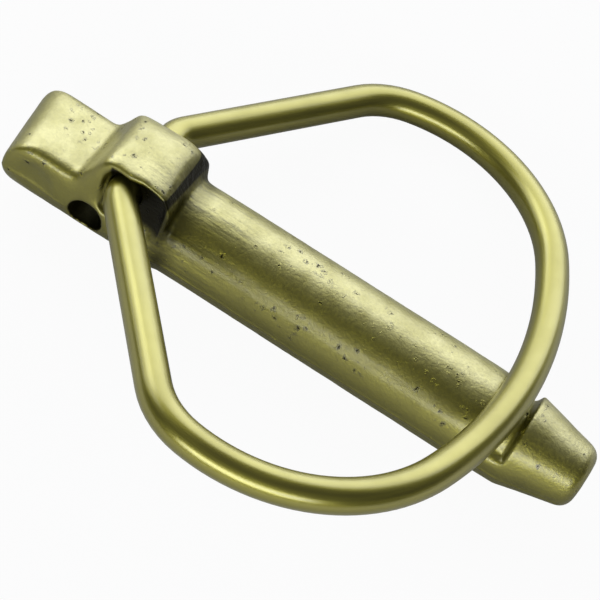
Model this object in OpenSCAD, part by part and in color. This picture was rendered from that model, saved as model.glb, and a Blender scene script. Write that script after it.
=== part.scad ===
// Lynch pin: a forged pin with an eyed head and a nosed shank, and a wire ring
// that turns in the head and snaps into a groove near the nose.
// The shank lies along X with its tip at +X, and the origin is on its axis at the
// head's shoulder.  The whole lies on the floor on its shank and one side of the ring.

/* [Shank] */
// Diameter of the shank
shank_d = 10; // [8.5:0.1:12]
// Length of the shank from the shoulder to the tip
shank_l = 46.4; // [40:0.2:70]
// How much the shank's radius has shrunk where the nose starts
taper_drop = 0.15; // [0.05:0.05:0.3]
// Distance from the groove back to where the shank starts to shrink
taper_gap = 1.5; // [0.6:0.1:4]
// Length of the tapered nose
nose_l = 7.3; // [6:0.1:12]
// Diameter of the nose where its taper meets the end
nose_d = 6.3; // [5:0.1:7.4]
// Radius round the edge of the nose
nose_edge_r = 1.6; // [0.8:0.1:2]

/* [Groove] */
// Width of the ring's groove at its floor
groove_w = 3.1; // [2.6:0.1:4.4]
// Depth of the ring's groove
groove_depth = 1; // [0.6:0.1:1.4]
// Length of each sloping side of the groove
groove_slope = 0.5; // [0.2:0.1:1]
// Land between the groove and the nose
groove_land = 0.1; // [0.1:0.1:3]
// Height above the axis of the groove's two ends
groove_low = 0.8; // [0:0.1:3]

/* [Head] */
// Length of the head from its end to the shoulder
head_l = 18.2; // [16.6:0.2:24]
// Width of the head across its flat sides
head_w = 10.2; // [9:0.1:11]
// How far the head's underside lies above the shank's
under_gap = 0.35; // [0.1:0.05:0.6]
// Radius along the two lower edges of the head
under_r = 4; // [2:0.1:4.1]
// Height of the tab's top above the axis
tab_top = 3; // [2.4:0.1:3.6]
// Radius along the tab's right top edge
tab_right_r = 1.3; // [0.5:0.1:1.6]
// Radius along the tab's left top edge
tab_left_r = 2; // [0.5:0.1:2.4]
// Radius of the tab's end, seen from the side
tab_end_r = 3.9; // [2:0.1:3.9]
// Height of the hump's crown above the axis
hump_top = 7.4; // [7.2:0.1:9]
// Radius along the middle of the hump's crown
crown_r = 10; // [8:0.5:12]
// Slope of the crown down to its two sides
crown_slope = 7; // [4:0.5:10]
// Radius along the crown's left edge, whose right edge is a sharp lip
crown_side_r = 3.6; // [0.5:0.1:3.8]
// Length of the hump's crown
hump_l = 6.6; // [6:0.2:7.4]
// Length of the hump's slope to the tab
hump_back = 2.3; // [1.6:0.1:3.4]
// Radius of the crown's edge above that slope
crown_edge_r = 2.5; // [0.5:0.1:3]
// Radius in the fold between the tab and the hump
fold_r = 1.2; // [0.5:0.1:2]
// Length of the hump's slope to the shank
hump_front = 1.5; // [1:0.1:2.2]
// Radius of the crown's edge above that slope to the shank
front_edge_r = 1.4; // [0.5:0.1:2]
// Step from the hump's slope down to the shank
shoulder_step = 0.35; // [0.1:0.05:0.8]
// Diameter of the dish in each side of the tab
dish_d = 5; // [3:0.2:6]
// Depth of that dish
dish_depth = 0.4; // [0.2:0.05:0.6]

/* [Holes] */
// Distance from the shoulder back to the ring's hole
pivot_back = 5.3; // [5:0.1:6]
// Height of the ring's hole above the axis
pivot_up = 4.2; // [4:0.05:4.6]
// Diameter of the tether hole
tether_d = 3.8; // [2.5:0.1:4]
// Distance from the ring's hole to the tether hole, along the pin
tether_back = 2.7; // [2.6:0.1:4]
// Distance from the ring's hole down to the tether hole
tether_drop = 5.4; // [5.2:0.1:5.8]
// Depth of the recess that the ring's leg turns in, in each side of the head
recess_depth = 0.9; // [0.3:0.1:1.2]
// Reach of the recess behind the ring's hole
recess_back = 2.3; // [2.2:0.1:3]
// Reach of the recess above the ring's hole
recess_above = 2.15; // [2.1:0.05:2.25]
// Reach of the recess below the ring's hole
recess_below = 3.6; // [2.4:0.1:4]
// Wall between the recess and the shoulder
recess_wall = 0.6; // [0.4:0.1:1.4]
// Radius in the recess's corners
recess_r = 1.5; // [0.8:0.1:1.9]

/* [Ring] */
// Diameter of the ring's wire
wire_d = 3.4; // [2.6:0.1:3.6]
// Angle between each leg and the ring's middle line
leg_angle = 54; // [50:0.5:60]
// Bend radius where each leg leaves its hole
root_r = 3; // [2.6:0.1:4]
// Bend radius of each shoulder
corner_r = 8.6; // [6:0.2:11]
// Turn of each shoulder
corner_turn = 41.5; // [36:0.5:48]
// Bend radius of each side bow
side_r = 18; // [15:0.5:22]
// Turn of each side bow
side_turn = 80.5; // [72:0.5:84]
// Lean of the ring's middle line to the side, from its making
lean = 2.8; // [0:0.1:4]
// Gap between the two wire ends inside the hole
end_gap = 1.6; // [0.6:0.2:3]

/* [Fits] */
// Radial clearance of the wire in its hole
wire_clear = 0.08; // [0.02:0.01:0.1]
// Gap between the recess's floor and the start of each leg's bend
root_gap = 0.45; // [0.35:0.05:1.5]
// Gap between the ring and the floor of its groove
seat_gap = 0.05; // [0.02:0.01:0.2]
// Gap between the ring and the groove's side nearer the head
rim_gap = 0.06; // [0.03:0.01:0.2]

/* [Hidden] */
$fn = 96;
shank_r = shank_d / 2;
wire_r = wire_d / 2;
side_y = head_w / 2;
head_low = shank_r - under_gap;
arc_steps = 10;
// Margin of every cutting shape beyond what it cuts
over = 1;
// Least flat left between two rounded edges
least_flat = 0.05;
// How far the bead at each joint of the wire stands out
bead = 0.02;

crown_front = -hump_front;
crown_back = crown_front - hump_l;
fold_x = crown_back - hump_back;
end_round = min(tab_end_r, (tab_top + head_low) / 2 - least_flat);
crown_rise = crown_r * (1 / cos(crown_slope) - 1) + least_flat;
lip_z = hump_top + crown_rise - side_y * tan(crown_slope);
dish_r = (pow(dish_d / 2, 2) + pow(dish_depth, 2)) / (2 * dish_depth);
groove_rim = groove_w / 2 + groove_slope;
groove_x = shank_l - nose_l - groove_land - groove_rim;
groove_floor = shank_r - groove_depth;
straight_l = groove_x - groove_rim - taper_gap;
groove_reach = groove_rim + groove_slope / groove_depth * over;

// The two cross holes and the ring's seat in the groove, as [along the pin, up]
pivot = [-pivot_back, pivot_up];
tether = pivot - [tether_back, tether_drop];
seat_z = groove_floor + seat_gap + wire_r;
seat_clear = (wire_r + rim_gap) * norm([groove_depth, groove_slope]) - (seat_z - shank_r) * groove_slope;
seat = [groove_x - groove_rim + seat_clear / groove_depth, seat_z];
reach = norm(seat - pivot);
ring_tilt = asin((seat.y - pivot.y) / reach);

// Where a bend of radius r that turns right from a heading leads to
function bend_step(r, heading, turn) =
    r * [sin(heading) - sin(heading - turn), cos(heading - turn) - cos(heading)];

function turned_by(p, a) = [p.x * cos(a) - p.y * sin(a), p.x * sin(a) + p.y * cos(a)];

// The ring's left half from the hole to its middle line, in its own plane and before its lean
leg_y = side_y - recess_depth + root_gap + root_r * tan((90 - leg_angle) / 2);
side_heading = leg_angle - corner_turn;
end_heading = side_heading - side_turn;
end_turn = 90 + end_heading;
bends = bend_step(corner_r, leg_angle, corner_turn) + bend_step(side_r, side_heading, side_turn);
end_share = tan(end_turn / 2);
leg_l = (reach - bends.x - (leg_y + bends.y) * end_share) / (cos(leg_angle) + sin(leg_angle) * end_share);
leg_end = [0, leg_y] + leg_l * [cos(leg_angle), sin(leg_angle)];
side_start = leg_end + bend_step(corner_r, leg_angle, corner_turn);
side_end = leg_end + bends;
end_r = side_end.y / cos(end_heading);

// The part rolls about the pin's axis until the ring's widest point lies as low as the shank
wide_y = turned_by(side_start + side_r * [sin(side_heading), -cos(side_heading)], lean) + [0, side_r];
wide = [wide_y.y, pivot.y + wide_y.x * sin(ring_tilt)];
rest_roll = atan2(wide.y, wide.x) + asin((shank_r - wire_r) / norm(wide));

// Points of the arc of radius r that rounds the corner p between a and b
function corner_arc(a, p, b, r) =
    let (
        to_a = (a - p) / norm(a - p),
        to_b = (b - p) / norm(b - p),
        half = acos(to_a * to_b) / 2,
        centre = p + (to_a + to_b) / norm(to_a + to_b) * r / sin(half),
        start = p + to_a * r / tan(half) - centre,
        turn = (180 - 2 * half) * sign(cross(p - a, b - p)),
        first = atan2(start.y, start.x)
    )
    [
        for (i = [0:arc_steps])
            let (a = first + turn * i / arc_steps)
            centre + r * [cos(a), sin(a)]
    ];

// An outline whose corners, given as [x, y, radius], are rounded where the radius isn't 0
function rounded(corners) =
    let (n = len(corners), at = [for (c = corners) [c.x, c.y]])
    [
        for (i = [0:n - 1])
            let (r = corners[i].z)
            each r == 0 ? [at[i]] : corner_arc(at[(i + n - 1) % n], at[i], at[(i + 1) % n], r)
    ];

module at_rest() {
    rotate([-rest_roll, 0, 0]) children();
}

// Turns a profile drawn as [distance along the pin, radius] about the pin's axis
module turned() {
    rotate([0, 90, 0]) rotate_extrude() mirror([1, -1]) children();
}

// A bar along X whose section is drawn as [y, z]
module along_x(from, to) {
    translate([from, 0, 0]) rotate([90, 0, 90]) linear_extrude(to - from) children();
}

// A plate across the head whose outline is drawn as [x, z]
module across(from, to) {
    translate([0, to, 0]) rotate([90, 0, 0]) linear_extrude(to - from) children();
}

module shank() {
    turned() polygon(rounded([
        [0, 0, 0],
        [shank_l, 0, 0],
        [shank_l, nose_d / 2, nose_edge_r],
        [shank_l - nose_l, shank_r - taper_drop, 0],
        [straight_l, shank_r, 0],
        [0, shank_r, 0],
    ]));
}

// The head's section: round below as the shank is, flat at its sides, with a low crown
module section() {
    polygon(rounded([
        [-side_y, -head_low, under_r],
        [side_y, -head_low, under_r],
        [side_y, lip_z, crown_side_r],
        [0, lip_z + side_y * tan(crown_slope), crown_r],
        [-side_y, lip_z, 0],
    ]));
}

// The head seen from its side: tab, fold and hump
module side_outline() {
    polygon(rounded([
        [-head_l, -head_low, end_round],
        [0, -head_low, 0],
        [0, shank_r + shoulder_step, 0],
        [crown_front, hump_top, front_edge_r],
        [crown_back, hump_top, crown_edge_r],
        [fold_x, tab_top, fold_r],
        [-head_l, tab_top, end_round],
    ]));
}

module head() {
    intersection() {
        along_x(-head_l - over, 0) section();
        across(-side_y - over, side_y + over) side_outline();
    }
}

// What is cut away to round the tab's top edge
module tab_edge(r) {
    along_x(-head_l - over, fold_x) translate([side_y - r, tab_top - r]) difference() {
        square(r + over);
        circle(r);
    }
}

// The recess beside the ring's hole that its leg turns in
module recess() {
    across(side_y - recess_depth, side_y + over) polygon(rounded([
        [pivot.x - recess_back, pivot.y - recess_below, recess_r],
        [-recess_wall, pivot.y - recess_below, recess_r],
        [-recess_wall, pivot.y + recess_above, recess_r],
        [pivot.x - recess_back, pivot.y + recess_above, recess_r],
    ]));
}

// The shallow dish in the side of the tab
module dish() {
    translate([-head_l + end_round, side_y + dish_r - dish_depth, (tab_top - head_low) / 2]) sphere(dish_r);
}

module cross_hole(at, r) {
    translate([at.x, 0, at.y]) rotate([90, 0, 0]) cylinder(r = r, h = head_w + 2 * over, center = true);
}

// The groove that the ring snaps into, round the upper part of the shank
module groove() {
    intersection() {
        turned() polygon([
            [groove_x - groove_w / 2, groove_floor],
            [groove_x + groove_w / 2, groove_floor],
            [groove_x + groove_reach, shank_r + over],
            [groove_x - groove_reach, shank_r + over],
        ]);
        translate([groove_x - shank_d, -shank_d, groove_low]) cube(2 * shank_d);
    }
}

module pin() {
    color("darkkhaki") at_rest() difference() {
        union() {
            shank();
            head();
        }
        groove();
        cross_hole(pivot, wire_r + wire_clear);
        cross_hole(tether, tether_d / 2);
        for (side = [0, 1]) mirror([0, side, 0]) {
            tab_edge([tab_left_r, tab_right_r][side]);
            recess();
            dish();
        }
    }
}

module wire_line(from, heading, length) {
    translate(from) rotate(heading) rotate([0, 90, 0]) cylinder(r = wire_r, h = length);
}

// A bend to the right
module wire_bend(from, heading, r, turn) {
    translate(from + r * [sin(heading), -cos(heading)]) rotate(heading - turn + 90)
        rotate_extrude(angle = turn) translate([r, 0]) circle(wire_r);
}

module wire_joint(at) {
    translate(at) sphere(wire_r + bead);
}

// One half of the ring, whose leg crosses into the hole's axis wherever the lean takes it
module ring_half(side) {
    heading = leg_angle + side * lean;
    cross_y = leg_y * (cos(lean) + side * sin(lean) * tan(heading));
    root_y = cross_y - root_r * tan((90 - heading) / 2);
    root_end = [0, root_y] + bend_step(root_r, 90, 90 - heading);
    wire_line([0, end_gap / 2], 90, root_y - end_gap / 2);
    wire_bend([0, root_y], 90, root_r, 90 - heading);
    wire_line(root_end, heading, norm(turned_by(leg_end, side * lean) - root_end));
    wire_joint([0, root_y]);
    wire_joint(root_end);
    rotate(side * lean) {
        wire_bend(leg_end, leg_angle, corner_r, corner_turn);
        wire_bend(side_start, side_heading, side_r, side_turn);
        wire_joint(leg_end);
        wire_joint(side_start);
        wire_joint(side_end);
    }
}

module ring() {
    color("darkkhaki") at_rest() translate([pivot.x, 0, pivot.y]) rotate([0, -ring_tilt, 0]) {
        ring_half(1);
        mirror([0, 1, 0]) ring_half(-1);
        rotate(lean) wire_bend(side_end, end_heading, end_r, 2 * end_turn);
    }
}

pin();
ring();
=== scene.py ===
import math

import bpy
from mathutils import Matrix, Vector


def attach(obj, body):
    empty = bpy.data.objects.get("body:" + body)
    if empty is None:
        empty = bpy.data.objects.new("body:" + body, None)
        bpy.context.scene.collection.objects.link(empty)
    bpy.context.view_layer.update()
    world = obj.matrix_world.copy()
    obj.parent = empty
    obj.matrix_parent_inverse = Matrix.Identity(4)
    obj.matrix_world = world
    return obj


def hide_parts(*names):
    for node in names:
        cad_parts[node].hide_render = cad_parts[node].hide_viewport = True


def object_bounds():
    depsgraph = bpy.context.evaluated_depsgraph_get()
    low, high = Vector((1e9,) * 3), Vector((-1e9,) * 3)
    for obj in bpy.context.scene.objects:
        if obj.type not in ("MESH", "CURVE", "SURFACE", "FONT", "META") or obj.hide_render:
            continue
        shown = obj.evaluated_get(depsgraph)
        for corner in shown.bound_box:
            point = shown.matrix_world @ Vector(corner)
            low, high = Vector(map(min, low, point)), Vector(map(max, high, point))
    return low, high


mm = 0.001
sameSpot = 0.001 * mm      # points nearer than this are one point
restRoll = -16.565736      # degrees about the pin's axis, from upright to how the part lies
ringHole = (-5.3, 4.2)     # mm along the pin and above its axis
tetherHole = (-8.0, -1.2)  # mm along the pin and above its axis

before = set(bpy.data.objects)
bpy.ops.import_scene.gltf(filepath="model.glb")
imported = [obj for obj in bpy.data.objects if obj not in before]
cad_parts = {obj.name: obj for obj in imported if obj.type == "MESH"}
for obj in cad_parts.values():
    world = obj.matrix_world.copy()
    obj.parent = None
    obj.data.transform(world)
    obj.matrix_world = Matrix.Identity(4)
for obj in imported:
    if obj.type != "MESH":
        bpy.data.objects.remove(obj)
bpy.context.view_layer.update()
print("frame loaded")


def linearColour(code):
    # "#rrggbb" as the linear colour that the shader sockets take, by the sRGB curve
    shares = [int(code[i:i + 2], 16) / 255 for i in (1, 3, 5)]
    return [s / 12.92 if s <= 0.04045 else ((s + 0.055) / 1.055) ** 2.4 for s in shares] + [1]


def addNode(tree, kind, settings=None, **links):
    # settings fill properties and sockets by name or number,
    # and links join sockets, such as i0 or Base_Color, to other nodes' outputs
    node = tree.nodes.new(kind)
    for name, value in (settings or {}).items():
        if isinstance(name, int) or name in node.inputs:
            node.inputs[name].default_value = value
        else:
            setattr(node, name, value)
    for name, output in links.items():
        socket = int(name[1:]) if name[1:].isdigit() else name.replace("_", " ")
        tree.links.new(output, node.inputs[socket])
    return node


def newMaterial(name):
    material = bpy.data.materials.new(name)
    material.use_nodes = True
    material.node_tree.nodes.clear()
    return material


def selectOnly(piece):
    bpy.ops.object.select_all(action="DESELECT")
    piece.select_set(True)
    bpy.context.view_layer.objects.active = piece


def applyModifier(piece, kind, settings):
    selectOnly(piece)
    bpy.ops.object.modifier_add(type=kind)
    modifier = piece.modifiers[-1]
    for name, value in settings.items():
        setattr(modifier, name, value)
    bpy.ops.object.modifier_apply(modifier=modifier.name)


def applyPlace(piece, place):
    piece.matrix_world = place
    selectOnly(piece)
    bpy.ops.object.transform_apply(location=True, rotation=True, scale=True)


def atRest():
    # turns what stands upright to how the part lies
    return Matrix.Rotation(math.radians(restRoll), 4, "X")


pinShape = {
    "voxel": 0.18,            # mm between the points of the forged skin
    "smoothing": 0.5,         # how far one smoothing step takes a point towards its neighbours
    "softSkin": 4,            # smoothing steps all over, bores and groove included
    "softHead": 52,           # further steps on the forged head
    "headEnd": 1.2,           # mm along the pin where those have faded out
    "headFade": 1.6,          # mm over which they fade
    "softCorner": 150,        # further steps where a corner is rounder
    "cornerRise": 1.6,        # how steeply those come in from the end of a corner's reach
    "dieWave": 0.06,          # mm of unevenness left by the die
    "dieWaveSize": 3.6,       # mm across one swell of it
    "scale": 0.02,            # mm of roughness left by the forging scale
    "scaleSize": 0.9,         # mm across one grain of that
    "boreKept": (1.95, 3.1),  # mm from a bore's axis, spared up to the first and not past the second
    "groove": (34.2, 39.3),   # mm along the pin, free of roughness for the ring's wire
    "grooveFade": 1.5,        # mm past its ends where the roughness is back
    "grooveUp": (-2.5, 0),    # mm above the axis, rough up to the first and not past the second
    "partingUp": -1.4,        # mm above the axis where the two dies met
    "partingWander": ((0.06, 0.25), (0.02, 1.1)),  # mm up and down, and radians per mm along
    "partingWidth": 0.5,      # mm across the ground-off flash
    "partingHeight": 0.07,    # mm that it stands proud
    "partingSide": 3.0,       # mm from the middle, past which it shows
    "driftBox": (12.0, -6.0, 8.0),  # mm, the box the head is skewed in: its width, foot and top
}

# Corners that the die left round, in mm: place along, across and up, then how far each reaches
softCorners = [
    (-6.4, 4.6, 7.0, 3.6),
    (-9.2, -4.8, 3.4, 3.0),
    (-9.2, 4.8, 3.2, 2.6),
    (-0.5, 4.8, 6.6, 4.2),
    (-0.2, 1.0, 7.0, 3.2),
    (-2.0, -4.9, 1.2, 3.0),
    (-2.0, 4.9, 1.2, 3.0),
    (-7.4, -4.9, 6.0, 2.4),
    (36.6, -4.9, 0.5, 2.2),
    (36.6, 4.9, 0.5, 2.2),
]

# How the two dies were out of line on the head, in mm: place along the pin, then how far the
# near and far sides move along it, and how far the near and far top edges move up
headDrift = [
    (-20.0, 0.45, -1.50, 0.10, 0.25),
    (-16.0, 0.40, -1.05, 0.05, 0.20),
    (-12.0, 0.35, -0.15, 0.0, 0.10),
    (-8.0, 0.35, -0.10, 0.20, 0.05),
    (-4.0, 0.05, 0.0, 0.65, 0.30),
    (0.0, 0.0, -0.60, -0.20, -0.10),
    (4.0, 0.0, 0.0, 0.0, 0.0),
]


def ramp(value, low, high):
    return min(max((value - low) / (high - low), 0), 1)


def awayFromBores(spot):
    # 0 in the wall of a bore, which is spared for what runs in it, and 1 well clear of it
    away = min(math.hypot(spot.x / mm - along, spot.z / mm - up)
               for along, up in (ringHole, tetherHole))
    return ramp(away, *pinShape["boreKept"])


def driftHead(pin):
    # skews the head inside a lattice
    start, end = headDrift[0][0], headDrift[-1][0]
    length = end - start
    width, foot, top = pinShape["driftBox"]
    bpy.ops.object.select_all(action="DESELECT")
    bpy.ops.object.add(type="LATTICE",
                       location=((start + length / 2) * mm, 0, (foot + top) / 2 * mm))
    cage = bpy.context.object
    cage.scale = (length * mm, width * mm, (top - foot) * mm)
    grid = cage.data
    grid.points_u, grid.points_v, grid.points_w = len(headDrift), 2, 2
    grid.interpolation_type_u = "KEY_LINEAR"
    grid.interpolation_type_v = "KEY_LINEAR"
    grid.interpolation_type_w = "KEY_LINEAR"
    for index, point in enumerate(grid.points):
        _, nearAlong, farAlong, nearUp, farUp = headDrift[index % len(headDrift)]
        far = index // len(headDrift) % 2
        upper = index // len(headDrift) // 2
        point.co_deform.x += (farAlong if far else nearAlong) / length
        point.co_deform.z += upper * (farUp if far else nearUp) / (top - foot)
    bpy.context.view_layer.update()
    drift = pin.vertex_groups.new(name="drift")
    for vertex in pin.data.vertices:
        if vertex.co.x < end * mm:
            drift.add([vertex.index], awayFromBores(vertex.co), "REPLACE")
    applyModifier(pin, "LATTICE", {"object": cage, "vertex_group": "drift"})
    bpy.data.objects.remove(cage)


def markSkin(pin):
    # how far each point takes part in the later steps; the walls of the bores take no part
    grooveStart, grooveEnd = pinShape["groove"]
    fade = pinShape["grooveFade"]
    slow, fast = pinShape["partingWander"]
    head, rough, corners, flash = (pin.vertex_groups.new(name=name)
                                   for name in ("head", "rough", "corners", "flash"))
    for vertex in pin.data.vertices:
        spot, clear = vertex.co, awayFromBores(vertex.co)
        along, up = spot.x / mm, spot.z / mm
        soft = ramp(pinShape["headEnd"] - along, 0, pinShape["headFade"])
        head.add([vertex.index], soft * clear, "REPLACE")

        seat = (ramp(along, grooveStart - fade, grooveStart)
                * ramp(-along, -grooveEnd - fade, -grooveEnd))
        rough.add([vertex.index], clear * (1 - seat * ramp(up, *pinShape["grooveUp"])), "REPLACE")

        nearest = max(1 - (spot - Vector(corner[:3]) * mm).length / (corner[3] * mm)
                      for corner in softCorners)
        if nearest > 0:
            corners.add([vertex.index], min(pinShape["cornerRise"] * nearest, 1) * clear, "REPLACE")

        wander = slow[0] * math.sin(along * slow[1]) + fast[0] * math.sin(along * fast[1])
        off = abs(up - pinShape["partingUp"] - wander) / (pinShape["partingWidth"] / 2)
        if off < 1 and abs(spot.y) > pinShape["partingSide"] * mm:
            flash.add([vertex.index], (1 - off * off) * clear, "REPLACE")


def makePin():
    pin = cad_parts["pin"].copy()
    pin.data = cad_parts["pin"].data.copy()
    pin.name = pin.data.name = "forgedPin"
    bpy.context.collection.objects.link(pin)
    pin.parent = None
    for key in list(pin.keys()):
        del pin[key]
    selectOnly(pin)
    bpy.ops.object.mode_set(mode="EDIT")
    bpy.ops.mesh.select_all(action="SELECT")
    bpy.ops.mesh.remove_doubles(threshold=sameSpot)
    bpy.ops.object.mode_set(mode="OBJECT")
    # upright, so that the skin's grid runs with the flat sides
    applyPlace(pin, atRest().inverted())
    applyModifier(pin, "REMESH", {"mode": "VOXEL", "voxel_size": pinShape["voxel"] * mm,
                                  "adaptivity": 0})
    driftHead(pin)
    markSkin(pin)

    for steps, group in (("softSkin", ""), ("softHead", "head"), ("softCorner", "corners")):
        applyModifier(pin, "SMOOTH", {"factor": pinShape["smoothing"],
                                      "iterations": pinShape[steps], "vertex_group": group})
    applyModifier(pin, "DISPLACE", {"mid_level": 0, "strength": pinShape["partingHeight"] * mm,
                                    "vertex_group": "flash"})
    for name, size, depth in (("dieSwell", "dieWaveSize", "dieWave"),
                              ("forgingScale", "scaleSize", "scale")):
        swell = bpy.data.textures.new(name, "CLOUDS")
        swell.noise_scale = pinShape[size] * mm
        swell.noise_depth = 1
        applyModifier(pin, "DISPLACE", {"texture": swell, "texture_coords": "LOCAL",
                                        "mid_level": 0.5, "strength": pinShape[depth] * mm,
                                        "vertex_group": "rough"})
    bpy.ops.object.shade_smooth()
    pin.vertex_groups.clear()
    pin.data.materials.clear()
    applyPlace(pin, atRest())
    print("forged pin", len(pin.data.polygons), "faces")
    return pin


ringShape = {
    "wire": 3.4,                   # mm across the drawn wire
    "tilt": 2.124,                 # degrees that the closed ring rises towards the tip
    "endGap": 1.6,                 # mm between the wire's ends inside the hole
    "stubs": (5.14359, 4.21983),   # mm from the middle to where the far and near bends start
    "rootBend": 3.0,               # mm, radius of those two bends
    "legs": (20.75361, 21.53179),  # mm, length of the far and near leg
    "legAngles": (56.8, 51.2),     # degrees between each leg and the pin
    "shoulderBend": (8.6, 41.5),   # mm and degrees, radius and turn of the bend after a leg
    "sideBow": (18.0, 80.5),       # mm and degrees, the long bow down each side
    "endBow": (42.85847, 44.0),    # mm and degrees, the flat bow across the end
    "sides": 40,                   # faces round the wire
    "straightStep": 1.2,           # mm along a face on a straight stretch
    "bendStep": 0.9,               # mm along a face in a bend
    "fewestSteps": 4,              # in any bend
    "sharpFrom": 40,               # degrees, an edge that turns more stays sharp
}


def makeRing():
    pen = {"at": Vector((0, ringShape["endGap"] / 2 * mm, 0)), "heading": math.pi / 2}

    def straight(length):
        step = Vector((math.cos(pen["heading"]), math.sin(pen["heading"]), 0)) * length * mm
        pieces = max(1, round(length / ringShape["straightStep"]))
        for i in range(pieces):
            bpy.ops.mesh.extrude_region_move(TRANSFORM_OT_translate={"value": step / pieces})
        pen["at"] += step

    def bend(radius, turn):
        out = Vector((math.sin(pen["heading"]), -math.cos(pen["heading"]), 0)) * radius * mm
        centre = pen["at"] + out
        steps = round(radius * math.radians(turn) / ringShape["bendStep"])
        bpy.ops.mesh.spin(steps=max(ringShape["fewestSteps"], steps), angle=math.radians(turn),
                          center=centre, axis=(0, 0, 1))
        pen["heading"] -= math.radians(turn)
        out = Vector((math.sin(pen["heading"]), -math.cos(pen["heading"]), 0)) * radius * mm
        pen["at"] = centre - out

    bpy.ops.object.select_all(action="DESELECT")
    bpy.ops.mesh.primitive_circle_add(vertices=ringShape["sides"],
                                      radius=ringShape["wire"] / 2 * mm, fill_type="NGON",
                                      location=pen["at"], rotation=(math.pi / 2, 0, 0))
    ring = bpy.context.object
    ring.name = ring.data.name = "drawnRing"
    bpy.ops.object.transform_apply(location=True, rotation=True, scale=True)
    bpy.ops.object.mode_set(mode="EDIT")
    bpy.ops.mesh.select_all(action="SELECT")
    straight(ringShape["stubs"][0] - ringShape["endGap"] / 2)
    bend(ringShape["rootBend"], 90 - ringShape["legAngles"][0])
    straight(ringShape["legs"][0])
    for bow in ("shoulderBend", "sideBow", "endBow", "sideBow", "shoulderBend"):
        bend(*ringShape[bow])
    straight(ringShape["legs"][1])
    bend(ringShape["rootBend"], 90 - ringShape["legAngles"][1])
    straight(ringShape["stubs"][1] - ringShape["endGap"] / 2)
    bpy.ops.mesh.select_all(action="SELECT")
    bpy.ops.mesh.remove_doubles(threshold=sameSpot)
    bpy.ops.mesh.normals_make_consistent(inside=False)
    bpy.ops.object.mode_set(mode="OBJECT")
    print("ring's wire ends at", [round(c / mm, 3) for c in pen["at"]])
    applyPlace(ring, atRest() @ Matrix.Translation(Vector((ringHole[0], 0, ringHole[1])) * mm)
               @ Matrix.Rotation(math.radians(-ringShape["tilt"]), 4, "Y"))
    bpy.ops.object.shade_smooth_by_angle(angle=math.radians(ringShape["sharpFrom"]))
    print("drawn ring", len(ring.data.polygons), "faces")
    return ring


# What the chromate film does alike on both pieces
filmLook = {
    "mottle": (0.35, 0.6),    # cloud tone, least painted highlight up to the first and most past the second
    "mottleLeast": 0.55,      # how much of the painted highlight stays where it is least
    "noiseSpan": (0.3, 0.7),  # the tones that most of a noise lies between
    "glazeIor": 1.9,          # of the film's own gloss
}


def paintedSheenFilm(tree, look, colour, cloud):
    # painted highlight: a paler colour painted on the upper and far side, which faces the softbox
    # behind, broken up by the cloud
    normal = addNode(tree, "ShaderNodeTexCoord").outputs["Normal"]
    way = addNode(tree, "ShaderNodeMapping",
                  {"Rotation": (math.radians(look["sheenLean"] - restRoll), 0, 0)}, Vector=normal)
    up = addNode(tree, "ShaderNodeSeparateXYZ", None, Vector=way.outputs[0])
    sheenSide = addNode(tree, "ShaderNodeMapRange",
                   {"interpolation_type": "SMOOTHSTEP", "From Min": look["sheenFrom"][0],
                    "From Max": look["sheenFrom"][1]}, Value=up.outputs[2])
    mottle = addNode(tree, "ShaderNodeMapRange",
                     {"From Min": filmLook["mottle"][0], "From Max": filmLook["mottle"][1],
                      "To Min": filmLook["mottleLeast"], "To Max": 1.0}, Value=cloud)
    share = addNode(tree, "ShaderNodeMath", {"operation": "MULTIPLY"}, i0=sheenSide.outputs[0],
                    i1=mottle.outputs[0])
    return addNode(tree, "ShaderNodeMix", {"data_type": "RGBA", 7: linearColour(look["sheenTone"])},
                   i0=share.outputs[0], i6=colour).outputs[2]


def fadedBand(tree, value, low, high, fade, foot=None):
    # 1 from low to high, in mm, and 0 outside; foot is the lower side's own fade
    start = low - (fade if foot is None else foot)
    rise = addNode(tree, "ShaderNodeMapRange",
                   {"interpolation_type": "SMOOTHSTEP", "From Min": start * mm,
                    "From Max": low * mm}, Value=value)
    fall = addNode(tree, "ShaderNodeMapRange",
                   {"interpolation_type": "SMOOTHSTEP", "From Min": (high + fade) * mm,
                    "From Max": high * mm}, Value=value)
    return addNode(tree, "ShaderNodeMath", {"operation": "MULTIPLY"}, i0=rise.outputs[0],
                   i1=fall.outputs[0]).outputs[0]


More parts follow.
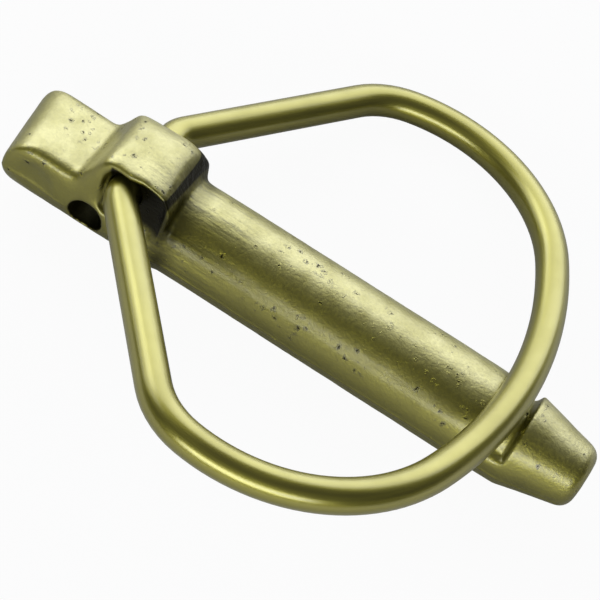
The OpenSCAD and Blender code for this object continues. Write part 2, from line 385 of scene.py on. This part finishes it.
forgedLook = {
    "film": "#8d882a",          # full olive-yellow chromate film
    "filmThick": "#757020",     # where the film stands thicker
    "cloud": 2.6,               # mm across a cloud in the film's colour
    "sheenTone": "#aeaa6e",          # paler colour painted on the upper and far side as painted highlight
    "sheenLean": 18,             # degrees from upright to the far side, the way the faces with the painted highlight look
    "sheenFrom": (0.50, 0.95),   # cosine to that way, no painted highlight up to the first, full past the second
    "grain": 0.28,              # mm across the grain of the blasted skin
    "grainDepth": 0.04,         # mm
    "roughness": (0.40, 0.54),  # in the grain's hollows and on its peaks
    "glaze": (0.55, 0.08),      # weight of the film's own gloss, clean and then under the painted shade and in pits
    "glazeRoughness": 0.32,
    "pitShade": "#34310f",      # painted shade in a pit's floor
    "pitSpacing": 0.75,         # mm between the places where a pit may lie
    "pitWidth": 0.36,           # mm across a pit
    "pitUneven": 1.8,           # how far its outline is pulled about, in widths
    "pitBowl": (0.2, 0.3),      # widths from its middle that its floor reaches, and across its wall
    "pitRim": (0.5, 0.6, 0.25),  # widths from its middle to the lip, and across the lip's slopes
    "pitLip": 0.55,             # height of the lip, as a share of the pit's depth
    "pitDepth": 0.12,           # mm
    "pitPatch": 3.4,            # mm across a patch of them
    "patchFrom": (0.45, 0.60),  # patch tone, no patch up to the first, thick past the second
    "pitShare": (0.02, 0.5),    # share of the places with a pit, off a patch and in its thick
    "pitLow": (-0.5, 2.5),      # mm above the pin's axis, few up to the first, all past the second
    "pitLowShare": 0.08,        # share of them left down there
    "creviceShade": "#1c1a07",          # painted shade in the hollow, the corner behind the shank and the tether hole
    "cornerAt": -0.3,           # mm along the pin, the corner where the hump runs down to the shank
    "cornerFull": 0.3,          # mm either way where its painted shade is at its darkest
    "cornerReach": 2.7,         # mm further, over which it thins out
    "shadeRaggedFrom": (0.3, 0.6),    # cloud tone that makes that painted shade ragged
    "shadeShare": (0.3, 0.8),   # how far it covers the film at those two tones
    "hollow": (-7.0, -0.6, 2.2, 6.5),  # mm, the hollow round the ring's hole: along the pin and up
    "hollowEdge": 0.3,          # mm over which its painted shade ends
    "hollowFade": 1.8,          # mm over which it thins out towards the hollow's foot
    "hollowSide": 4.95,         # mm, only what lies further in than the head's sides
    "hollowSideEdge": 0.1,      # mm over which it ends there
    "tetherShade": 1.90,         # mm from the tether hole's axis that the painted shade in it reaches
    "tetherEdge": 0.12,         # mm over which it ends
    "tetherShare": 0.8,         # how far it covers the film
    "scar": (5.0, 0.7),         # mm along and across one drag mark of the die
    "scarDepth": 0.16,          # mm
    "scarEnd": 11.0,            # mm along the pin where the marks have faded out
    "scarFull": 0.3,            # share of that length over which they keep their depth
}


def scatterPits(tree, look, place, up):
    # pits lie in patches, and each is uneven with a lip round it
    width = look["pitWidth"]
    uneven = addNode(tree, "ShaderNodeTexNoise", {"Scale": 1 / (width * mm), "Detail": 1},
                     Vector=place)
    nudge = addNode(tree, "ShaderNodeVectorMath",
                    {"operation": "MULTIPLY_ADD", 1: [width * look["pitUneven"] * mm] * 3},
                    i0=uneven.outputs["Color"], i2=place)
    spots = addNode(tree, "ShaderNodeTexVoronoi", {"Scale": 1 / (look["pitSpacing"] * mm)},
                    Vector=nudge.outputs[0])
    chosen = addNode(tree, "ShaderNodeSeparateColor", None, Color=spots.outputs["Color"])
    patches = addNode(tree, "ShaderNodeTexNoise",
                      {"Scale": 1 / (look["pitPatch"] * mm), "Detail": 1}, Vector=place)
    shareHere = addNode(tree, "ShaderNodeMapRange",
                        {"From Min": look["patchFrom"][0], "From Max": look["patchFrom"][1],
                         "To Min": look["pitShare"][0], "To Max": look["pitShare"][1]},
                        Value=patches.outputs["Fac"])
    sheltered = addNode(tree, "ShaderNodeMapRange",
                        {"From Min": look["pitLow"][0] * mm, "From Max": look["pitLow"][1] * mm,
                         "To Min": look["pitLowShare"], "To Max": 1.0}, Value=up)
    shareLeft = addNode(tree, "ShaderNodeMath", {"operation": "MULTIPLY"},
                        i0=shareHere.outputs[0], i1=sheltered.outputs[0])
    present = addNode(tree, "ShaderNodeMath", {"operation": "LESS_THAN"}, i0=chosen.outputs[0],
                      i1=shareLeft.outputs[0]).outputs[0]

    offPit = addNode(tree, "ShaderNodeMath", {"operation": "MULTIPLY", 1: look["pitSpacing"] * mm},
                     i0=spots.outputs["Distance"])
    floorReach, wall = [width * share for share in look["pitBowl"]]
    lipStart, lipEnd, slope = [width * share for share in look["pitRim"]]
    bowl = fadedBand(tree, offPit.outputs[0], -1, floorReach, wall)
    rim = fadedBand(tree, offPit.outputs[0], lipStart, lipEnd, slope)
    pits = addNode(tree, "ShaderNodeMath", {"operation": "MULTIPLY"}, i0=bowl, i1=present)
    lips = addNode(tree, "ShaderNodeMath", {"operation": "MULTIPLY"}, i0=rim, i1=present)
    sunk = addNode(tree, "ShaderNodeMath", {"operation": "MULTIPLY", 1: -1}, i0=pits.outputs[0])
    relief = addNode(tree, "ShaderNodeMath", {"operation": "MULTIPLY_ADD", 1: look["pitLip"]},
                     i0=lips.outputs[0], i2=sunk.outputs[0])
    return pits.outputs[0], relief.outputs[0]


def paintedCreviceShade(tree, look, upright, ways, cloud):
    # painted shade: darker colour in the corner behind the shank, round the ring's hole and in the
    # tether's hole
    along, side, up = ways
    corner = fadedBand(tree, along, look["cornerAt"] - look["cornerFull"],
                       look["cornerAt"] + look["cornerFull"], look["cornerReach"])
    ragged = addNode(tree, "ShaderNodeMapRange",
                     {"From Min": look["shadeRaggedFrom"][0], "From Max": look["shadeRaggedFrom"][1],
                      "To Min": look["shadeShare"][0], "To Max": look["shadeShare"][1]},
                     Value=cloud)
    cornerShade = addNode(tree, "ShaderNodeMath", {"operation": "MULTIPLY"}, i0=corner,
                      i1=ragged.outputs[0])

    back, front, low, high = look["hollow"]
    out = addNode(tree, "ShaderNodeMath", {"operation": "ABSOLUTE"}, i0=side)
    inside = fadedBand(tree, out.outputs[0], 0, look["hollowSide"], look["hollowSideEdge"])
    spread = addNode(tree, "ShaderNodeMath", {"operation": "MULTIPLY"},
                     i0=fadedBand(tree, along, back, front, look["hollowEdge"]),
                     i1=fadedBand(tree, up, low, high, look["hollowEdge"], look["hollowFade"]))
    hollow = addNode(tree, "ShaderNodeMath", {"operation": "MULTIPLY"}, i0=spread.outputs[0],
                     i1=inside)

    across = addNode(tree, "ShaderNodeVectorMath", {"operation": "MULTIPLY", 1: (1, 0, 1)},
                     i0=upright)
    bore = addNode(tree, "ShaderNodeVectorMath",
                   {"operation": "DISTANCE", 1: (tetherHole[0] * mm, 0, tetherHole[1] * mm)},
                   i0=across.outputs[0])
    tether = fadedBand(tree, bore.outputs["Value"], -1, look["tetherShade"], look["tetherEdge"])
    bored = addNode(tree, "ShaderNodeMath", {"operation": "MULTIPLY", 1: look["tetherShare"]},
                    i0=tether)
    creased = addNode(tree, "ShaderNodeMath", {"operation": "MAXIMUM"}, i0=hollow.outputs[0],
                      i1=cornerShade.outputs[0])
    return addNode(tree, "ShaderNodeMath", {"operation": "MAXIMUM"}, i0=creased.outputs[0],
                   i1=bored.outputs[0]).outputs[0]


def dragMarks(tree, look, upright, along):
    # the die dragged on the shank, below the hump
    length, width = look["scar"]
    drawnOut = addNode(tree, "ShaderNodeMapping",
                       {"Scale": (1 / (length * mm), 1 / (width * mm), 1 / (width * mm))},
                       Vector=upright)
    marks = addNode(tree, "ShaderNodeTexNoise", {"Scale": 1.0, "Detail": 2},
                    Vector=drawnOut.outputs[0])
    fading = fadedBand(tree, along, 0, look["scarEnd"] * look["scarFull"],
                       look["scarEnd"] * (1 - look["scarFull"]))
    return addNode(tree, "ShaderNodeMath", {"operation": "MULTIPLY"}, i0=marks.outputs["Fac"],
                   i1=fading).outputs[0]


def forgedZincPlate():
    # Zinc plate with an olive-yellow chromate film over a blasted forging: satin, cloudy and pitted,
    # with a painted highlight on its upper far side and painted shade in its hollows, corners and
    # pits
    look = forgedLook
    material = newMaterial("forgedZincPlate")
    tree = material.node_tree
    output = addNode(tree, "ShaderNodeOutputMaterial")
    place = addNode(tree, "ShaderNodeTexCoord").outputs["Object"]
    turned = addNode(tree, "ShaderNodeMapping", {"Rotation": (math.radians(-restRoll), 0, 0)},
                     Vector=place)
    upright = turned.outputs[0]
    along, side, up = addNode(tree, "ShaderNodeSeparateXYZ", None, Vector=upright).outputs
    cloud = addNode(tree, "ShaderNodeTexNoise", {"Scale": 1 / (look["cloud"] * mm), "Detail": 3},
                    Vector=place).outputs["Fac"]
    grain = addNode(tree, "ShaderNodeTexNoise", {"Scale": 1 / (look["grain"] * mm), "Detail": 2},
                    Vector=place).outputs["Fac"]
    pits, relief = scatterPits(tree, look, place, up)
    # painted shade: mask for the hollow round the ring's hole, the corner behind the shank and the
    # tether hole
    creviceShade = paintedCreviceShade(tree, look, upright, (along, side, up), cloud)
    scar = dragMarks(tree, look, upright, along)

    tones = addNode(tree, "ShaderNodeMix",
                    {"data_type": "RGBA", 6: linearColour(look["filmThick"]),
                     7: linearColour(look["film"])}, i0=cloud)
    # painted highlight: paler base colour on the upper and far side
    sheenTone = paintedSheenFilm(tree, look, tones.outputs[2], cloud)
    # painted shade: darker colour in the pits' floors
    pitted = addNode(tree, "ShaderNodeMix",
                     {"data_type": "RGBA", 7: linearColour(look["pitShade"])}, i0=pits, i6=sheenTone)
    # painted shade: darker colour mixed in where that mask lies
    tint = addNode(tree, "ShaderNodeMix", {"data_type": "RGBA", 7: linearColour(look["creviceShade"])},
                   i0=creviceShade, i6=pitted.outputs[2])
    # the painted shade and the pits, where the film's own gloss is weaker
    shadedMarks = addNode(tree, "ShaderNodeMath", {"operation": "MAXIMUM"}, i0=creviceShade, i1=pits)
    glaze = addNode(tree, "ShaderNodeMapRange",
                    {"To Min": look["glaze"][0], "To Max": look["glaze"][1]},
                    Value=shadedMarks.outputs[0])
    dull = addNode(tree, "ShaderNodeMapRange",
                   {"From Min": filmLook["noiseSpan"][0], "From Max": filmLook["noiseSpan"][1],
                    "To Min": look["roughness"][0], "To Max": look["roughness"][1]}, Value=grain)

    skin = addNode(tree, "ShaderNodeBump", {"Strength": 1.0, "Distance": look["grainDepth"] * mm},
                   Height=grain)
    dragged = addNode(tree, "ShaderNodeBump", {"Strength": 1.0, "Distance": look["scarDepth"] * mm},
                      Height=scar, Normal=skin.outputs[0])
    holes = addNode(tree, "ShaderNodeBump", {"Strength": 1.0, "Distance": look["pitDepth"] * mm},
                    Height=relief, Normal=dragged.outputs[0])
    shader = addNode(tree, "ShaderNodeBsdfPrincipled",
                     {"Metallic": 1.0, "Coat Roughness": look["glazeRoughness"],
                      "Coat IOR": filmLook["glazeIor"]},
                     Base_Color=tint.outputs[2], Roughness=dull.outputs[0],
                     Coat_Weight=glaze.outputs[0], Normal=holes.outputs[0])
    tree.links.new(shader.outputs[0], output.inputs[0])
    return material


drawnLook = {
    "film": "#8f8a2c",          # full olive-yellow chromate film
    "filmThick": "#7d7824",     # where the film stands thicker
    "cloud": 5.0,               # mm along which the film's colour drifts
    "sheenTone": "#a09b52",          # paler colour painted on the upper and far side as painted highlight
    "sheenLean": 25,             # degrees from upright to the far side, the way the faces with the painted highlight look
    "sheenFrom": (0.72, 1.0),    # cosine to that way, no painted highlight up to the first, full at the second
    "line": 0.16,               # mm between the drawing die's lines, coarser than real so they show
    "lineDepth": 0.014,         # mm
    "lineDrawn": 0.02,          # scale of the lines along the ring's plane, which draws them out
    "roughness": (0.34, 0.44),  # in the lines and between them
    "glaze": 0.55,              # weight of the film's own gloss
    "glazeRoughness": 0.24,
}


def drawnZincPlate():
    # The same plate and film over drawn wire: smoother, with a long clean highlight, faint lines and
    # a painted highlight on its upper far side
    look = drawnLook
    material = newMaterial("drawnZincPlate")
    tree = material.node_tree
    output = addNode(tree, "ShaderNodeOutputMaterial")
    place = addNode(tree, "ShaderNodeTexCoord").outputs["Object"]
    cloud = addNode(tree, "ShaderNodeTexNoise", {"Scale": 1 / (look["cloud"] * mm), "Detail": 3},
                    Vector=place).outputs["Fac"]
    # the ring is flat, so its height above its own plane is what stays the same along a line
    turned = addNode(tree, "ShaderNodeMapping", {"Rotation": (math.radians(-restRoll), 0, 0)},
                     Vector=place)
    level = addNode(tree, "ShaderNodeMapping",
                    {"Rotation": (0, math.radians(ringShape["tilt"]), 0)}, Vector=turned.outputs[0])
    drawnOut = addNode(tree, "ShaderNodeMapping",
                       {"Scale": (look["lineDrawn"], look["lineDrawn"], 1)},
                       Vector=level.outputs[0])
    lines = addNode(tree, "ShaderNodeTexNoise", {"Scale": 1 / (look["line"] * mm), "Detail": 2},
                    Vector=drawnOut.outputs[0]).outputs["Fac"]
    tones = addNode(tree, "ShaderNodeMix",
                    {"data_type": "RGBA", 6: linearColour(look["filmThick"]),
                     7: linearColour(look["film"])}, i0=cloud)
    dull = addNode(tree, "ShaderNodeMapRange",
                   {"From Min": filmLook["noiseSpan"][0], "From Max": filmLook["noiseSpan"][1],
                    "To Min": look["roughness"][0], "To Max": look["roughness"][1]}, Value=lines)
    skin = addNode(tree, "ShaderNodeBump", {"Strength": 1.0, "Distance": look["lineDepth"] * mm},
                   Height=lines)
    # painted highlight: the base colour is paler on the upper and far side
    shader = addNode(tree, "ShaderNodeBsdfPrincipled",
                     {"Metallic": 1.0, "Coat Weight": look["glaze"],
                      "Coat Roughness": look["glazeRoughness"], "Coat IOR": filmLook["glazeIor"]},
                     Base_Color=paintedSheenFilm(tree, look, tones.outputs[2], cloud),
                     Roughness=dull.outputs[0], Normal=skin.outputs[0])
    tree.links.new(shader.outputs[0], output.inputs[0])
    return material


pin = makePin()
pin.data.materials.append(forgedZincPlate())
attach(pin, "pin")
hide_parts("pin")

ring = makeRing()
ring.data.materials.append(drawnZincPlate())
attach(ring, "ring")
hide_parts("ring")

# the hidden CAD nodes take the finish of the piece that stands for them
for name, dressed in (("pin", pin), ("ring", ring)):
    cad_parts[name].data.materials.clear()
    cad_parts[name].data.materials.append(dressed.data.materials[0])


studio = {
    "floor": "#b4b4b0",
    "floorSide": 1.6,        # m
    "floorGap": 0.02,        # mm from the part's lowest point down to the floor
    "floorWhite": 0.95,      # share of plain white in what the camera and the metal see of it
    "contact": (8, 70),      # mm, from where the metal mirrors the floor's shade to where white
    "skyHigh": 0.15,         # strength of the dim room overhead
    "skyLow": 0.08,          # and at the horizon and below
    "lampColour": (0.98, 1.0, 1.14),  # daylight tubes
    "lamps": (               # name, place and aim in m, size in m and power in W
        ("backSoftbox", (-0.08, 0.30, 0.19), (0.02, 0, 0.01), (0.80, 0.38), 2.25),  # wide, behind
        ("leftSoftbox", (-0.30, 0.10, 0.20), (0.02, 0, 0), (0.26, 0.26), 0.42),  # small, left
        ("frontStrip", (0.08, -0.36, 0.17), (0.02, 0, 0), (0.50, 0.14), 1.35),   # low, in front
    ),
}


def makeFloor():
    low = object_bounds()[0][2] - studio["floorGap"] * mm
    bpy.ops.object.select_all(action="DESELECT")
    bpy.ops.mesh.primitive_plane_add(size=studio["floorSide"], location=(0, 0, low))
    floor = bpy.context.object
    floor.name = "paleFloor"
    material = newMaterial("palePaper")
    tree = material.node_tree
    output = addNode(tree, "ShaderNodeOutputMaterial")
    paper = addNode(tree, "ShaderNodeBsdfDiffuse", {"Color": linearColour(studio["floor"])})
    glow = addNode(tree, "ShaderNodeEmission", {"Color": (1, 1, 1, 1), "Strength": 1.0})
    ray = addNode(tree, "ShaderNodeLightPath")
    start, end = studio["contact"]
    away = addNode(tree, "ShaderNodeMapRange", {"From Min": start * mm, "From Max": end * mm},
                   Value=ray.outputs["Ray Length"])
    mirrored = addNode(tree, "ShaderNodeMath", {"operation": "MULTIPLY"},
                       i0=ray.outputs["Is Glossy Ray"], i1=away.outputs[0])
    seen = addNode(tree, "ShaderNodeMath", {"operation": "MAXIMUM"},
                   i0=ray.outputs["Is Camera Ray"], i1=mirrored.outputs[0])
    shown = addNode(tree, "ShaderNodeMath", {"operation": "MAXIMUM"}, i0=seen.outputs[0],
                    i1=ray.outputs["Is Transmission Ray"])
    part = addNode(tree, "ShaderNodeMath", {"operation": "MULTIPLY", 1: studio["floorWhite"]},
                   i0=shown.outputs[0])
    mix = addNode(tree, "ShaderNodeMixShader", None, i0=part.outputs[0], i1=paper.outputs[0],
                  i2=glow.outputs[0])
    tree.links.new(mix.outputs[0], output.inputs[0])
    floor.data.materials.append(material)


def addSoftbox(name, place, aim, size, power):
    lamp = bpy.data.lights.new(name, "AREA")
    lamp.shape = "RECTANGLE"
    lamp.size, lamp.size_y = size
    lamp.energy = power
    lamp.color = studio["lampColour"]
    box = bpy.data.objects.new(name, lamp)
    bpy.context.collection.objects.link(box)
    box.location = place
    box.rotation_euler = (Vector(aim) - Vector(place)).to_track_quat("-Z", "Y").to_euler()


def makeRoom():
    world = bpy.data.worlds.new("dimRoom")
    bpy.context.scene.world = world
    world.use_nodes = True
    tree = world.node_tree
    tree.nodes.clear()
    output = addNode(tree, "ShaderNodeOutputWorld")
    around = addNode(tree, "ShaderNodeTexCoord").outputs["Generated"]
    way = addNode(tree, "ShaderNodeSeparateXYZ", None, Vector=around)
    height = addNode(tree, "ShaderNodeMapRange",
                     {"From Min": 0.0, "From Max": 1.0, "To Min": studio["skyLow"],
                      "To Max": studio["skyHigh"]}, Value=way.outputs[2])
    room = addNode(tree, "ShaderNodeBackground", {"Color": (1, 1, 1, 1)},
                   Strength=height.outputs[0])
    white = addNode(tree, "ShaderNodeBackground", {"Color": (1, 1, 1, 1), "Strength": 1.0})
    ray = addNode(tree, "ShaderNodeLightPath")
    mix = addNode(tree, "ShaderNodeMixShader", None, i0=ray.outputs["Is Camera Ray"],
                  i1=room.outputs[0], i2=white.outputs[0])
    tree.links.new(mix.outputs[0], output.inputs[0])


makeFloor()
for softbox in studio["lamps"]:
    addSoftbox(*softbox)
makeRoom()

view = {
    "place": (0.033598, -0.092520, 0.181498),  # m
    "turn": (25.78252, -9.88060, 31.57530),    # degrees
    "lens": 126,                               # mm
    "sensor": 36,                              # mm
    "shift": (0.0014429, 0.002527),            # shares of the sensor's width
    "clipStart": 0.01,                         # m
}

lens = bpy.data.cameras.new("studioCamera")
lens.lens = view["lens"]
lens.sensor_width = view["sensor"]
lens.shift_x, lens.shift_y = view["shift"]
lens.clip_start = view["clipStart"]
camera = bpy.data.objects.new("studioCamera", lens)
bpy.context.collection.objects.link(camera)
camera.location = view["place"]
camera.rotation_euler = [math.radians(a) for a in view["turn"]]
bpy.context.scene.camera = camera
bpy.context.scene.view_settings.view_transform = "Standard"
print("studio set")
